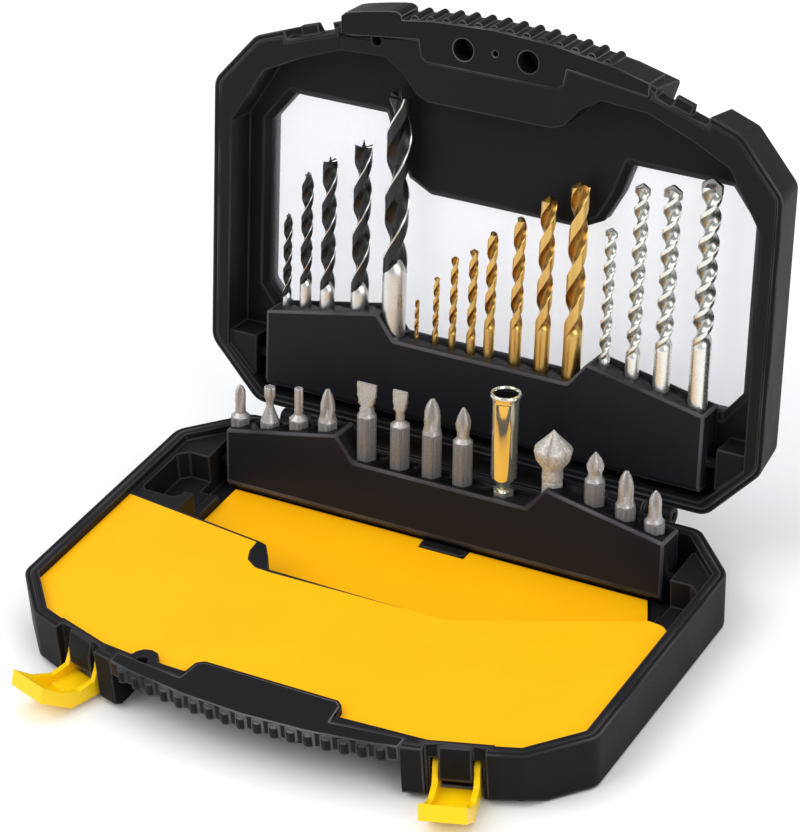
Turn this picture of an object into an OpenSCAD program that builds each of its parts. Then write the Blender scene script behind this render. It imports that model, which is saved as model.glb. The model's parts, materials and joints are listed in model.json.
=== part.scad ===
// Hinged case for drills and driver bits, shown open with its base bar raised.
// Frame: +X right, +Y to the hinge, +Z up. The origin is on the flat underside,
// midway between the hinge axis and the front edge. Millimetres and degrees.

/* [Case] */
// Width across the sides
case_w = 201; // [196:0.5:208]
// From the hinge axis to the front edge
case_l = 148.3; // [146:0.1:154]
// Depth of one half, from its outer face to its rim
half_h = 19.4; // [19:0.1:21]
// Wall of the outer shells
wall = 2.2; // [1.8:0.1:2.4]
// Skin of the outer faces
skin = 1.8; // [1.2:0.1:2]
// Lean of the lid's side walls over their depth
lid_draft = 3; // [2:0.1:3.4]
// Lean of the base's side walls over their depth
base_draft = 0.6; // [0.4:0.1:1.2]
// Rounding of the upright corners at the rim
corner_r = 7; // [6.5:0.5:9]
// Bevel round the lid's outer face
lid_bevel = 1.6; // [0.6:0.1:2.2]
// Bevel round the underside
base_bevel = 0.8; // [0.6:0.1:1.6]
// Length of the straight rear edge
rear_w = 165.2; // [160:0.2:170]
// Depth of the cut-off rear corners
rear_cut = 18.9; // [16:0.1:21]
// Length of the bowed front edge
front_w = 170.8; // [166:0.2:174]
// Depth of the cut-off front corners
front_cut = 17.4; // [14:0.1:20]
// Radius of the bowed front edge
front_r = 217; // [200:1:260]

/* [Hinge] */
// From the rear wall to the hinge axis
hinge_out = 3; // [3:0.1:3.6]
// Radius of the hinge barrels
barrel_r = 2.9; // [2.5:0.1:2.9]
// Radius of the hinge pins
hinge_pin_r = 1.5; // [1.2:0.1:1.7]
// Length of each hinge
hinge_l = 34; // [28:1:40]
// From each end of the rear edge to the middle of its hinge
hinge_in = 27.6; // [23:0.2:32]
// How far the open lid leans back from upright
lid_lean = 9.24; // [5:0.01:12]

/* [Base inside] */
// Width of the rim, shell wall included
rim_w = 4.5; // [4.2:0.1:5]
// Drop from the rim to the front panel
panel_drop = 2.5; // [2:0.1:3.5]
// Thickness of the front panel
panel_t = 1.2; // [0.8:0.1:1.6]
// Thickness of the moulded deck and of the inner walls
inner_t = 1.5; // [1.2:0.1:2]
// Thickness of the inner moulding's floor
tray_t = 0.8; // [0.6:0.1:1]
// Thickness of the recess liner
liner_t = 1.4; // [0.8:0.1:1.5]

/* [Tool bars] */
// From the case's side to the end of each bar
bar_in = 21; // [20:0.1:23]
// From a bar's axle to its front or back face
bar_half_t = 5.85; // [5.4:0.05:5.95]
// Rise of a bar's top edge from its ends to its two peaks
bar_rise = 8.2; // [6:0.1:9]
// From the middle to each peak
peak_x = 38; // [36.5:0.5:39.5]
// From the middle to the foot of each peak
peak_foot_x = 31.5; // [26:0.5:33]
// Radius of the axle stubs on the bar ends
stub_r = 2; // [1.6:0.1:2.3]
// Gap between a bar end and the bracket that holds its stub
stub_gap = 4.5; // [3.5:0.1:5.5]
// From the base bar's axle up to its low top edge
base_bar_top = 14.5; // [13:0.1:15]
// From the base bar's axle down to its foot
base_bar_foot = 6.9; // [6.4:0.1:7]
// Height of the base bar's axle above the underside
base_axle_z = 10.8; // [10.8:0.1:11.4]
// From the hinge axis forward to the base bar's axle
base_axle_in = 20.1; // [19:0.1:22]
// How far the raised base bar leans back
base_bar_lean = 7; // [4:0.5:9]
// From the lid bar's axle up to its low top edge
lid_bar_top = 17.6; // [16:0.1:19]
// From the lid bar's axle down to its foot
lid_bar_foot = 9; // [8.6:0.1:9.4]
// From the hinge axis up the lid to the lid bar's axle
lid_axle_up = 18.9; // [18.5:0.1:20]

/* [Lid inside] */
// Drop from the lid's rim to its inner floor
lid_floor = 12; // [11.9:0.1:12.6]
// Drop from the lid's rim to the window pane
pane_drop = 16; // [15.4:0.1:16.2]
// Thickness of the window pane
pane_t = 1.6; // [1.2:0.1:1.7]
// From the case's side to the lid's opening
mouth_in = 6.5; // [5.5:0.1:8.5]
// From the case's side to the window
window_in = 14.1; // [13.5:0.1:16.5]
// How far the pane reaches behind the bezel
pane_lap = 2.5; // [1.5:0.1:3]

/* [Latches] */
// From each end of the front edge to the middle of its latch
latch_end = 19.4; // [17.4:0.2:20.4]
// Width of a latch
latch_w = 14.4; // [13.4:0.2:15]
// Thickness of its plate
latch_t = 2.2; // [1.8:0.1:2.4]
// Thickness of its arms
arm_t = 1.9; // [1.5:0.1:2.1]
// Radius of its pivot stubs
latch_stub_r = 1.6; // [1.3:0.1:1.8]
// From the wall inward to the pivot
latch_in = 5.7; // [5.4:0.1:6]
// Height of the pivot above the underside
latch_pivot_z = 10.4; // [10.2:0.1:10.8]
// Depth of the recess in the wall
latch_recess = 3.6; // [3.3:0.1:3.9]

/* [Grips] */
// Width of the base grip
base_grip_w = 100; // [94:1:102]
// Width of the lid grip
lid_grip_w = 108; // [102:1:109]
// Height of the finger scoop under the base grip
scoop_h = 14; // [11:0.1:14.5]
// Distance between grip ribs
rib_pitch = 5.6; // [4.8:0.1:6.4]
// How far the ribs stand out
rib_out = 0.9; // [0.5:0.1:1.2]
// Radius of the screw counterbores
screw_bore_r = 3.6; // [3.2:0.1:3.8]
// Radius of the screw heads
screw_head_r = 2.8; // [2.4:0.1:3]
// Radius of the screw shanks
screw_r = 1.4; // [1.1:0.1:1.6]

/* [Tools] */
// Width across the flats of the driver bits
hex_af = 6.35; // [6.35:0.01:6.36]
// Length of the short bits
short_bit_l = 25; // [24:0.5:25.5]
// Length of the long bits
long_bit_l = 47.4; // [44:0.2:48]
// Width of the countersink head
sink_d = 12.7; // [10.4:0.1:12.8]
// Outer width of the bit holder's tube
holder_d = 8.6; // [8.2:0.1:9.4]
// How high the drill shanks start above the lid bar's foot
drill_seat = 1.5; // [1:0.1:3]

/* [Fits] */
// Radial clearance of pins and stubs in their bores
running = 0.05; // [0.03:0.01:0.09]
// Side clearance of moving pieces
side_gap = 0.3; // [0.2:0.05:0.4]
// Clearance of tools in their holes
tool_gap = 0.12; // [0.08:0.01:0.2]

/* [Hidden] */
$fn = 48;
over = 1;            // how far cuts run past the faces they open
front_y = -case_l / 2;
hinge_y = case_l / 2;
rear_y = hinge_y - hinge_out;
rim_z = half_h;
deck_z = rim_z - panel_drop - panel_t;
floor_z = skin + tray_t;
liner_z = floor_z + liner_t;
base_axle_y = hinge_y - base_axle_in;
bar_l = case_w - 2 * bar_in;
bar_spread = bar_l / 159;  // the tools move apart or together with the bars' length
bracket_x = bar_l / 2 + stub_gap;
stub_l = stub_gap + 4;
side_land_x = case_w / 2 - rim_w;
hinge_x = rear_w / 2 - hinge_in;
latch_x = front_w / 2 - latch_end;

// front arc, as points evenly spread from corner to corner
function bow(x) = front_r - sqrt(front_r * front_r - x * x);
front_corner_y = front_y + bow(front_w / 2);
side_front_y = front_corner_y + front_cut;
side_rear_y = rear_y - rear_cut;
arc_steps = 8;
outline = concat(
    [[rear_w / 2, rear_y], [-rear_w / 2, rear_y]],
    [[-case_w / 2, side_rear_y], [-case_w / 2, side_front_y]],
    [for (i = [0 : arc_steps])
        let (x = front_w * (i / arc_steps - 0.5)) [x, front_y + bow(x)]],
    [[case_w / 2, side_front_y], [case_w / 2, side_rear_y]]);

// a ring of points moved inward by d; the ring runs anticlockwise
function side_normal(a, b) = let (d = (b - a) / norm(b - a)) [-d.y, d.x];
function inset(p, d) = [for (i = [0 : len(p) - 1])
    let (n = len(p),
         a = side_normal(p[(i + n - 1) % n], p[i]),
         b = side_normal(p[i], p[(i + 1) % n]))
    p[i] + (a + b) * d / (1 + a * b)];
// a symmetric ring from its right half, listed from the rear to the front
function mirror_ring(right) = concat([for (p = right) [-p.x, p.y]],
    [for (i = [len(right) - 1 : -1 : 0]) right[i]]);

// tools in a bar: the place along it, then the tool's own sizes
function spread(tools) = [for (t = tools) concat([t.x * bar_spread], [for (i = [1 : len(t) - 1]) t[i]])];
// drills: place, diameter, length, plain shank above the seat
wood_drills = spread([
    [-75.1, 3, 59, 29], [-68, 4, 75, 35], [-59.8, 5, 82, 35], [-47.6, 6, 90, 37],
    [-34.8, 8, 110, 47]]);
metal_drills = spread([
    [-26.1, 1.5, 39, 26], [-19.2, 2, 48.5, 28], [-12.9, 2.5, 57, 30], [-6.1, 3, 61, 30],
    [0.4, 3.5, 68.5, 35], [9.9, 4, 75.5, 37], [19.5, 5, 84.5, 39], [30.2, 6, 91.5, 40]]);
masonry_drills = spread([
    [41.6, 4, 78.3, 33], [51.4, 5, 95.2, 37], [61.7, 6, 96.8, 42], [74.6, 7, 101.8, 46]]);
wood_names = [for (i = [1 : len(wood_drills)]) str("wood_drill_", i)];
metal_names = [for (i = [1 : len(metal_drills)]) str("metal_drill_", i)];
masonry_names = [for (i = [1 : len(masonry_drills)]) str("masonry_drill_", i)];

// driver bits: place, how far the tip stands out of the bar
short_bits = spread([
    [-77.4, 14], [-66.1, 14], [-55.1, 14], [-44.2, 14], [52.5, 17.4], [63.4, 15.7], [73.6, 13.6]]);
long_bits = spread([[-29.6, 26.6], [-17.3, 26.9], [-5.6, 26.9], [5.6, 26.6]]);
short_names = ["bit_short_1", "bit_short_2", "bit_short_3", "bit_short_4",
    "bit_short_5", "bit_short_6", "bit_short_7"];
long_names = ["bit_long_1", "bit_long_2", "bit_long_3", "bit_long_4"];
holder_x = 20.5 * bar_spread;
holder_out = 35.6;
holder_stem_out = 4.7;
sink_x = 37.7 * bar_spread;
sink_out = 18.6;

// ---------------------------------------------------------------- placing

module both_sides() {
    children();
    mirror([1, 0, 0]) children();
}

// what is drawn for a closed lid over the base, seen as a base, goes to the open lid:
// (x, y, z) becomes (x, depth behind the rim, height above the hinge)
module open_lid() {
    translate([0, hinge_y, rim_z]) rotate([-lid_lean, 0, 0]) children();
}
module as_lid() {
    open_lid() mirror([0, 1, 1]) translate([0, -hinge_y, -rim_z]) children();
}

// +Y inward from the wall, +X along it, for the latch on the right
module at_latch() {
    translate([latch_x, front_y + bow(latch_x), 0])
        rotate([0, 0, asin(latch_x / front_r)]) children();
}

// along the case: a profile of (y, z) points from x0 to x1
module run_x(points, x0, x1) {
    translate([x0, 0, 0]) rotate([90, 0, 90]) linear_extrude(x1 - x0) polygon(points);
}
module prism(points, z0, z1) {
    translate([0, 0, z0]) linear_extrude(z1 - z0) polygon(points);
}
module rod_x(r, x0, x1, y = 0, z = 0) {
    translate([x0, y, z]) rotate([0, 90, 0]) cylinder(h = x1 - x0, r = r);
}

// ---------------------------------------------------------------- half shells

function corner_at(z, lean) = corner_r - lean * (half_h - z) / half_h;
ring = inset(outline, corner_r);

module half_outer(lean, bevel) {
    low_r = corner_at(bevel, lean);
    hull() for (p = ring) translate(p) {
        cylinder(h = bevel, r1 = low_r - bevel, r2 = low_r, $fn = 32);
        translate([0, 0, bevel]) cylinder(h = half_h - bevel, r1 = low_r, r2 = corner_r, $fn = 32);
    }
}
module half_cavity(lean) {
    hull() for (p = ring) translate([p.x, p.y, skin])
        cylinder(h = half_h - skin + over, r1 = corner_at(skin, lean) - wall,
                 r2 = corner_at(half_h + over, lean) - wall, $fn = 32);
}
module base_outer() half_outer(base_draft, base_bevel);
module lid_outer() half_outer(lid_draft, lid_bevel);

// ---------------------------------------------------------------- latch and its recesses

arm_outer = latch_w / 2;
arm_inner = arm_outer - arm_t;
post_half = arm_inner - side_gap;
recess_half = latch_w / 2 + 2.1;
slot_half = latch_w / 2 + 0.6;
slot_in = latch_in + 3.6;
pocket_wall = 1.2;
slot_top = latch_pivot_z + 4;

// side view of the open latch: outward from the pivot, and up
plate_y = -7;
fold_o = 13.2;
tip = [23.9, 4.2];
tip_low = [25.3, -1.1];
plate_side = [[1.6, plate_y], [fold_o, plate_y], tip, tip_low,
    [fold_o + 0.9, plate_y - latch_t], [0.8, plate_y - latch_t]];
arm_side = [[-2.7, 0], [-1.8, plate_y - latch_t + 1], [0.8, plate_y - latch_t],
    [fold_o + 0.9, plate_y - latch_t], tip_low, tip, [17.5, -1.2], [10.5, -4.5], [4.5, -3.8],
    [2.75, 0]];
nib_side = [[fold_o - 1.8, plate_y], [fold_o - 1.2, plate_y + 1.6],
    [fold_o - 0.4, plate_y + 1.6], [fold_o, plate_y]];
eye_r = 2.8;

// outward-and-up points, carried to the latch's own place; u is along the wall
module latch_run(points, u0, u1) {
    translate([0, latch_in, latch_pivot_z]) run_x([for (p = points) [-p.x, p.y]], u0, u1);
}
module latch_body() {
    latch_run(plate_side, -arm_inner, arm_inner);
    latch_run(nib_side, -arm_inner + 1.5, arm_inner - 1.5);
    both_sides() {
        latch_run(arm_side, arm_inner, arm_outer);
        rod_x(eye_r, arm_inner, arm_outer, latch_in, latch_pivot_z);
        rod_x(latch_stub_r, post_half - 2.4, arm_inner, latch_in, latch_pivot_z);
    }
}
module latch_left() color("#ffdf12") mirror([1, 0, 0]) at_latch() latch_body();
module latch_right() color("#ffdf12") at_latch() latch_body();

// what the latch pockets take from the base; grown by t it leaves a wall behind them
module base_latch_pocket(t) {
    top = rim_z + 2 * over;
    run_x([[-8, -over], [latch_recess + t, -over], [latch_recess + t, top], [-8, top]],
          -recess_half - t, recess_half + t);
    run_x([[0, -over], [slot_in + t, -over], [slot_in + t, slot_top + t], [0, slot_top + t]],
          -slot_half - t, slot_half + t);
}
// the post between the arms, which carries the latch stubs
module latch_post() {
    foot = latch_pivot_z - 3.6;
    difference() {
        run_x([[slot_in + 0.2, foot], [2.6, foot], [1.6, foot + 1.2], [1.6, 14],
               [latch_recess - 0.6, rim_z - 0.4], [latch_recess + 0.4, rim_z - 0.4],
               [latch_recess + 0.4, slot_top + 0.4], [slot_in + 0.2, slot_top + 0.4]],
              -post_half, post_half);
        rod_x(latch_stub_r + running, -post_half - over, post_half + over, latch_in, latch_pivot_z);
    }
}
// the lid's recess, drawn as the closed lid lies mirrored on the base:
// height here is counted down from the lid's outer face
lid_slope = [[latch_recess, rim_z - 5.2], [11.2, rim_z - 14.8]];
module lid_latch_pocket(t) {
    run_x([[-8, rim_z + 2 * over], [latch_recess + t, rim_z + 2 * over],
           lid_slope[0] + [t, t / 2], lid_slope[1] + [t, t / 2],
           [lid_slope[1].x + t, -over], [-8, -over]], -recess_half - t, recess_half + t);
}
module lid_catch() {
    run_x([[latch_recess + 0.1, rim_z - 0.2], [0.2, rim_z - 0.6], [0.2, rim_z - 2.7],
           [latch_recess + 0.1, rim_z - 4.2]], -arm_inner + 2, arm_inner - 2);
}

// ---------------------------------------------------------------- grips

grip_depth = 7.3;        // from the front edge inward
tab_half = 24;
base_tab_depth = 17.65;
lid_tab_depth = 14.8;
function grip_ring(w, tab_depth) = mirror_ring([
    [tab_half - 1, front_y + tab_depth], [tab_half + 1, front_y + tab_depth - 1.6],
    [tab_half + 2, front_y + grip_depth + 0.6],
    [w / 2, front_y + grip_depth + bow(w / 2) * 0.6], [w / 2, front_y - 8]]);
module grip_zone(w, tab_depth, z0) {
    prism(grip_ring(w, tab_depth), z0, rim_z + 3 * over);
}
module grip_ribs(z0, lean, first_rib, last_rib) {
    rib_r = 1.5;
    for (i = [first_rib : last_rib]) {
        x = i * rib_pitch;
        translate([x, front_y + bow(x) + lean * (rim_z - z0) / half_h + rib_r - rib_out - 0.35, z0])
            cylinder(h = rim_z - z0 - 0.8, r = rib_r, $fn = 24);
    }
}
// the bowed front edge, moved back by d, with a straight rear
function bow_ring(d) = concat([[case_w / 2, rear_y], [-case_w / 2, rear_y]],
    [for (i = [0 : arc_steps])
        let (x = case_w * (i / arc_steps - 0.5)) [x, front_y + bow(x) + d]]);
scoop_in_top = 1.5;      // from the front edge to the slanted scoop face, at its top
scoop_in_low = 20.7;     // and at the underside
front_chamfer_h = 2.6;   // height of the chamfer under the whole front edge
front_chamfer_in = 4.4;
// a slanted cut along the bowed front, up to height top; grown by t it leaves a wall behind it
module slanted_cut(half_w, in_top, in_low, top, t) {
    slant = (in_low - in_top) / top;
    back = t * sqrt(1 + slant * slant);
    difference() {
        translate([-half_w - t, front_y - 8, -over]) cube([2 * (half_w + t), 50, top + t + over]);
        hull() {
            prism(bow_ring(in_low + slant * over + back), -over - 0.1, -over);
            prism(bow_ring(in_top - slant * (t + over) + back), top + t + over, top + t + over + 0.1);
        }
    }
}
module scoop(t) {
    slanted_cut(base_grip_w / 2, scoop_in_top, scoop_in_low, scoop_h, t);
    slanted_cut(case_w / 2, 0.3, front_chamfer_in, front_chamfer_h, t);
}
module base_grip() {
    color("#262528") intersection() {
        base_outer();
        prism(grip_ring(base_grip_w, base_tab_depth), scoop_h, rim_z);
    }
    color("#262528") grip_ribs(scoop_h, base_draft, -8, 8);
}

screws = [[-10.1, front_y + 8.3], [12.6, front_y + 8.1]];
lid_grip_z = 8.4;        // height of the lid grip's back above the lid's outer face
screw_seat = lid_grip_z + 2.2;
// the left part of the lid grip swells out in front of the bowed edge
swell = [[-54, front_y + 8], [-54, front_y + 5.2], [-52.6, front_y + 3.9], [-50, front_y + 3.1],
    [-46, front_y + 2.2], [-41, front_y + 1.2], [-37, front_y + 0.5], [-34.4, front_y + 0.2],
    [-33, front_y + 0.6], [-32.2, front_y + 1.4], [-32, front_y + 8]];
module lid_grip() {
    color("#262528") as_lid() difference() {
        union() {
            intersection() {
                prism(outline, lid_grip_z, rim_z);
                prism(grip_ring(lid_grip_w, lid_tab_depth), lid_grip_z - over, rim_z + over);
            }
            prism(swell, lid_grip_z, rim_z);
            grip_ribs(lid_grip_z, 0, -5, 7);
        }
        for (s = screws) translate([s.x, s.y, 0]) {
            translate([0, 0, screw_seat]) cylinder(h = rim_z, r = screw_bore_r);
            cylinder(h = rim_z, r = screw_r + 0.2);
        }
        translate([1.1, front_y + 7.5, rim_z - 4]) cylinder(h = 6, r = 1, $fn = 24);
    }
}
screw_foot = 3.2;
module grip_screws() {
    color("#3a393b") as_lid() for (s = screws) translate([s.x, s.y, 0]) {
        difference() {
            translate([0, 0, screw_seat]) cylinder(h = 2, r = screw_head_r);
            for (a = [0, 90]) translate([0, 0, screw_seat + 1.7]) rotate(a)
                cube([3.2, 0.7, 1.4], center = true);
        }
        translate([0, 0, screw_foot]) cylinder(h = screw_seat - screw_foot, r = screw_r);
    }
}
// solid bosses in the lid shell that the screws bite
module screw_bosses() {
    for (s = screws) translate([s.x, s.y, 0]) difference() {
        translate([0, 0, skin / 2]) cylinder(h = lid_grip_z - skin / 2, r = screw_r + 1.8);
        translate([0, 0, screw_foot - 0.2]) cylinder(h = rim_z, r = screw_r + running);
    }
}

// ---------------------------------------------------------------- hinge

leaf_l = (hinge_l - 2 * side_gap) * 0.3;
mid_l = hinge_l - 2 * leaf_l - 2 * side_gap;
web_low = 7.4;           // how far a web runs down the rear wall from the rim
module barrel(x0, x1) {
    difference() {
        union() {
            rod_x(barrel_r, x0, x1, hinge_y, rim_z);
            run_x([[rear_y - wall + 0.35, rim_z], [rear_y - wall + 0.35, rim_z - web_low],
                   [rear_y - 0.6, rim_z - web_low - 1.2], [hinge_y + 1.2, rim_z - 2],
                   [hinge_y, rim_z]], x0, x1);
        }
        rod_x(hinge_pin_r + running, x0 - over, x1 + over, hinge_y, rim_z);
    }
}
module base_barrels() {
    both_sides() {
        barrel(hinge_x - hinge_l / 2, hinge_x - hinge_l / 2 + leaf_l);
        barrel(hinge_x + hinge_l / 2 - leaf_l, hinge_x + hinge_l / 2);
    }
}
// ledge behind the rear wall that fills the space between the hinges
ledge_out = 8;
ledge_drop = 1.9;
ledge_t = 1.8;
module rear_ledge() {
    ledge_end = hinge_x - hinge_l / 2 + leaf_l;
    run_x([[rear_y - wall + 0.35, rim_z - ledge_drop], [rear_y - wall + 0.35, rim_z - web_low],
           [hinge_y + ledge_out, rim_z - ledge_drop - ledge_t],
           [hinge_y + ledge_out, rim_z - ledge_drop]], -ledge_end, ledge_end);
}
module lid_barrels() {
    both_sides() barrel(hinge_x - mid_l / 2, hinge_x + mid_l / 2);
}
// lugs behind the middle barrels: the open lid's webs come to rest on them
stop_gap = 0.3;
module stop_lugs() {
    both_sides() difference() {
        run_x([[rear_y - wall + 0.35, rim_z - 4.6], [rear_y - wall + 0.35, rim_z - 9.4],
               [hinge_y + 9, rim_z - 6], [hinge_y + 9, rim_z], [hinge_y, rim_z]],
              hinge_x - mid_l / 2 + 2, hinge_x + mid_l / 2 - 2);
        rod_x(barrel_r + 0.45, 0, case_w / 2, hinge_y, rim_z);
        translate([0, hinge_y, rim_z]) rotate([-lid_lean, 0, 0])
            translate([0, -20, -stop_gap]) cube([case_w, 60, 20]);
    }
}
// the heels on the lid that meet the lugs
module lid_heels() {
    both_sides() difference() {
        run_x([[rear_y - wall + 0.35, rim_z], [rear_y - wall + 0.35, rim_z - 9],
               [hinge_y - 0.4, rim_z - 9], [hinge_y, rim_z - 8.6], [hinge_y, rim_z]],
              hinge_x - mid_l / 2 + 2, hinge_x + mid_l / 2 - 2);
        rod_x(hinge_pin_r + running, 0, case_w / 2, hinge_y, rim_z);
    }
}
pin_in = 1.2;            // how deep the pin ends sit in the barrels
module hinge_pin() {
    rod_x(hinge_pin_r, hinge_x - hinge_l / 2 + pin_in, hinge_x + hinge_l / 2 - pin_in, hinge_y, rim_z);
}
module hinge_pin_right() color("#a8abb0") hinge_pin();
module hinge_pin_left() color("#a8abb0") mirror([1, 0, 0]) hinge_pin();

// ---------------------------------------------------------------- base

module base_cuts(pocket_t, scoop_t) {
    both_sides() at_latch() base_latch_pocket(pocket_t);
    scoop(scoop_t);
}
module base_cavity() {
    difference() {
        half_cavity(base_draft);
        base_cuts(pocket_wall, wall);
    }
}
module base_shell() {
    color("#222124") {
        difference() {
            base_outer();
            base_cavity();
            base_cuts(0, 0);
            grip_zone(base_grip_w, base_tab_depth, scoop_h);
        }
        both_sides() at_latch() latch_post();
        base_barrels();
        rear_ledge();
        stop_lugs();
    }
}

// the dip that the tips of the folded long bits need, from left to right
dip = [[-42.8, 9.6], [-40.3, 8.8], [-36.5, 3.6], [-32.6, -2.6], [31, -3.6]];
// where the panel's rear edge hooks back, so that a fingertip can lift it
hook = [[-44, 8.9], [-43.6, 4], [-41.6, -0.7], [-37.2, -3.6], [-31.7, -4]];
panel_rear = [[side_land_x + 4, 16.8], [side_land_x - 0.6, 18.8], [side_land_x - 1.4, 20.2],
    [side_land_x - 2.8, 21.6], [side_land_x - 4.8, 22.3], [side_land_x - 8.4, 22.7], [31.2, -3.2],
    hook[4], hook[3], hook[2], hook[1], hook[0],
    [-side_land_x - 4, 15.9]];
panel_front = [
    [-side_land_x - 4, front_y + 4], [14 - side_land_x, front_y + 18.6], [-61, front_y + 13.6],
    [-45.6, front_y + 12], [-45.2, front_y + 13.6], [-43.6, front_y + 15.6], [-41, front_y + 16.4],
    [-38.4, front_y + 15.6], [-36.8, front_y + 13.6], [-36.4, front_y + 11.6],
    [-26, front_y + 11.4], [-25.6, front_y + 16], [-23.4, front_y + 18.2],
    [23.4, front_y + 18.2], [25.6, front_y + 16], [26, front_y + 11.4],
    [56, front_y + 13], [side_land_x - 14, front_y + 20.6], [side_land_x + 4, front_y + 4]];
panel_ring = concat(panel_front, panel_rear);
land = inset(outline, rim_w);

latch_land = latch_recess + pocket_wall + 0.8;
module panel_zone(z0, z1) {
    difference() {
        intersection() {
            prism(land, z0, z1);
            prism(panel_ring, z0 - over, z1 + over);
        }
        both_sides() at_latch() translate([-recess_half - 2, -8, 0])
            cube([2 * recess_half + 4, 8 + latch_land, case_w]);
    }
}
deck_half_x = bar_l / 2 - 2.5;
// the well behind the panel, down to the inner floor
well_rear_y = rear_y - rim_w;
bar_end_y = 38.6;        // from here to the rear the well takes the ends of the folded bar
liner_end_x = deck_half_x + 6;   // the well reaches further out on the right
well_front = concat([[-deck_half_x, 14]], dip, [[liner_end_x, 20.2]]);
well_ring = concat([[liner_end_x, bar_end_y], [bracket_x, bar_end_y], [bracket_x, 61.5],
    [bracket_x + 3, well_rear_y - 3], [bracket_x, well_rear_y], [-bracket_x, well_rear_y],
    [-bracket_x - 3, well_rear_y - 3], [-bracket_x, 61.5], [-bracket_x, bar_end_y],
    [-deck_half_x, bar_end_y]], well_front);
pocket_depth = 12.4;
module side_pocket() {
    out = side_land_x - 1.6;
    inner = deck_half_x + 3.4;
    prism([[out, 21.5], [out, 42], [out - 3, 45], [inner + 2, 45], [inner, 43], [inner, 22],
           [inner + 2, 20], [out - 1.5, 20]], rim_z - pocket_depth, rim_z + over);
    // saddle for the outermost bit of the folded bar
    translate([deck_half_x - 1, 24.2, rim_z - pocket_depth + 0.2]) cube([5, 15, case_w]);
}
// black clip that holds the liner's rear edge, in front of the bar's foot
liner_rear_y = base_axle_y - 5.05;
clip_ring = [[-4.2, liner_rear_y - 4.4], [9.6, liner_rear_y - 4.4], [11, liner_rear_y - 3],
    [11, liner_rear_y - 0.8], [-5.4, liner_rear_y - 0.8], [-5.4, liner_rear_y - 3]];
module base_tray() {
    color("#262528") prism(clip_ring, floor_z - tray_t / 2, liner_z + 0.6);
    color("#262528") difference() {
        intersection() {
            base_cavity();
            translate([-case_w, -case_l, 0]) cube([2 * case_w, 2 * case_l, rim_z]);
        }
        panel_zone(deck_z, rim_z + 4 * over);
        intersection() {
            prism(well_ring, floor_z, rim_z + 2 * over);
            prism(land, 0, rim_z + 6 * over);
        }
        // lower shoulder round the well
        intersection() {
            prism(land, deck_z + panel_t, rim_z + 5 * over);
            translate([-case_w, -6, 0]) cube([2 * case_w, well_rear_y + 6, case_w]);
        }
        both_sides() side_pocket();
        // hollow under the deck
        intersection() {
            prism(inset(land, 6), skin - over, deck_z - inner_t);
            prism([[4 - side_land_x, front_y + 21], [side_land_x - 4, front_y + 21],
                   [side_land_x - 4, 12], [deck_half_x, 12], [32, -8], [-32, -8], [-36, -2],
                   [-44, 4], [4 - side_land_x, 10]], 0, rim_z);
        }
        both_sides() rod_x(stub_r + running, bracket_x - over, bracket_x + 5, base_axle_y, base_axle_z);
        grip_zone(base_grip_w, base_tab_depth, scoop_h);
        translate([-41, front_y + 10.4, rim_z - 5]) cylinder(h = 6, r = 1.9);
    }
}
module front_panel() {
    color("#ffc60a") panel_zone(deck_z, deck_z + panel_t);
}
liner_gap = 0.2;
liner_ring = inset(concat([[deck_half_x - 2.4, liner_rear_y], [-deck_half_x, liner_rear_y]],
    well_front, [[liner_end_x, 31.4]]), liner_gap);
module recess_liner() {
    color("#ffc60a") difference() {
        prism(liner_ring, floor_z, liner_z);
        prism([[clip_ring[5].x - liner_gap, clip_ring[0].y - liner_gap],
               [clip_ring[2].x + liner_gap, clip_ring[0].y - liner_gap],
               [clip_ring[2].x + liner_gap, hinge_y], [clip_ring[5].x - liner_gap, hinge_y]],
              floor_z - over, rim_z);
    }
}

// ---------------------------------------------------------------- bars

// top edge of a bar: from its low level up to the two peaks
function bar_top(x, low) = abs(x) > peak_x
    ? low + bar_rise * (bar_l / 2 - abs(x)) / (bar_l / 2 - peak_x)
    : abs(x) > peak_foot_x ? low + bar_rise * (abs(x) - peak_foot_x) / (peak_x - peak_foot_x) : low;
function bar_ring(low, foot) = concat(
    [[-bar_l / 2, -foot], [bar_l / 2, -foot], [bar_l / 2, low]],
    [[peak_x, low + bar_rise], [peak_foot_x, low], [-peak_foot_x, low], [-peak_x, low + bar_rise]],
    [[-bar_l / 2, low]]);

// a bar upright on its axle: X along it, +Y its back, +Z up
module bar_body(low, foot, foot_half_t) {
    intersection() {
        translate([0, bar_half_t, 0]) rotate([90, 0, 0])
            linear_extrude(2 * bar_half_t) polygon(bar_ring(low, foot));
        run_x([[-foot_half_t, -foot], [foot_half_t, -foot], [bar_half_t, -foot + 2.4],
               [bar_half_t, low + bar_rise], [-bar_half_t, low + bar_rise],
               [-bar_half_t, -foot + 2.4]], -bar_l, bar_l);
    }
    both_sides() rod_x(stub_r, bar_l / 2 - over, bar_l / 2 + stub_l, 0, 0);
}
module at_base_axle() {
    translate([0, base_axle_y, base_axle_z]) rotate([-base_bar_lean, 0, 0]) children();
}
module at_lid_axle() {
    open_lid() translate([0, bar_half_t + 0.05, lid_axle_up]) children();
}
module hex_rod(h, gap = 0) {
    cylinder(h = h, r = (hex_af / 2 + gap) / cos(30), $fn = 6);
}
hole_floor = 1;
module base_bar() {
    color("#262528") at_base_axle() difference() {
        bar_body(base_bar_top, base_bar_foot, 4.2);
        for (b = short_bits) translate([b.x, 0, bar_top(b.x, base_bar_top) + b.y - short_bit_l])
            hex_rod(60, tool_gap);
        for (b = long_bits) translate([b.x, 0, base_bar_top + b.y - long_bit_l])
            hex_rod(60, tool_gap);
        translate([holder_x, 0, hole_floor - base_bar_foot]) hex_rod(60, tool_gap);
        translate([sink_x, 0, hole_floor - base_bar_foot]) hex_rod(60, tool_gap);
    }
}
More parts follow.
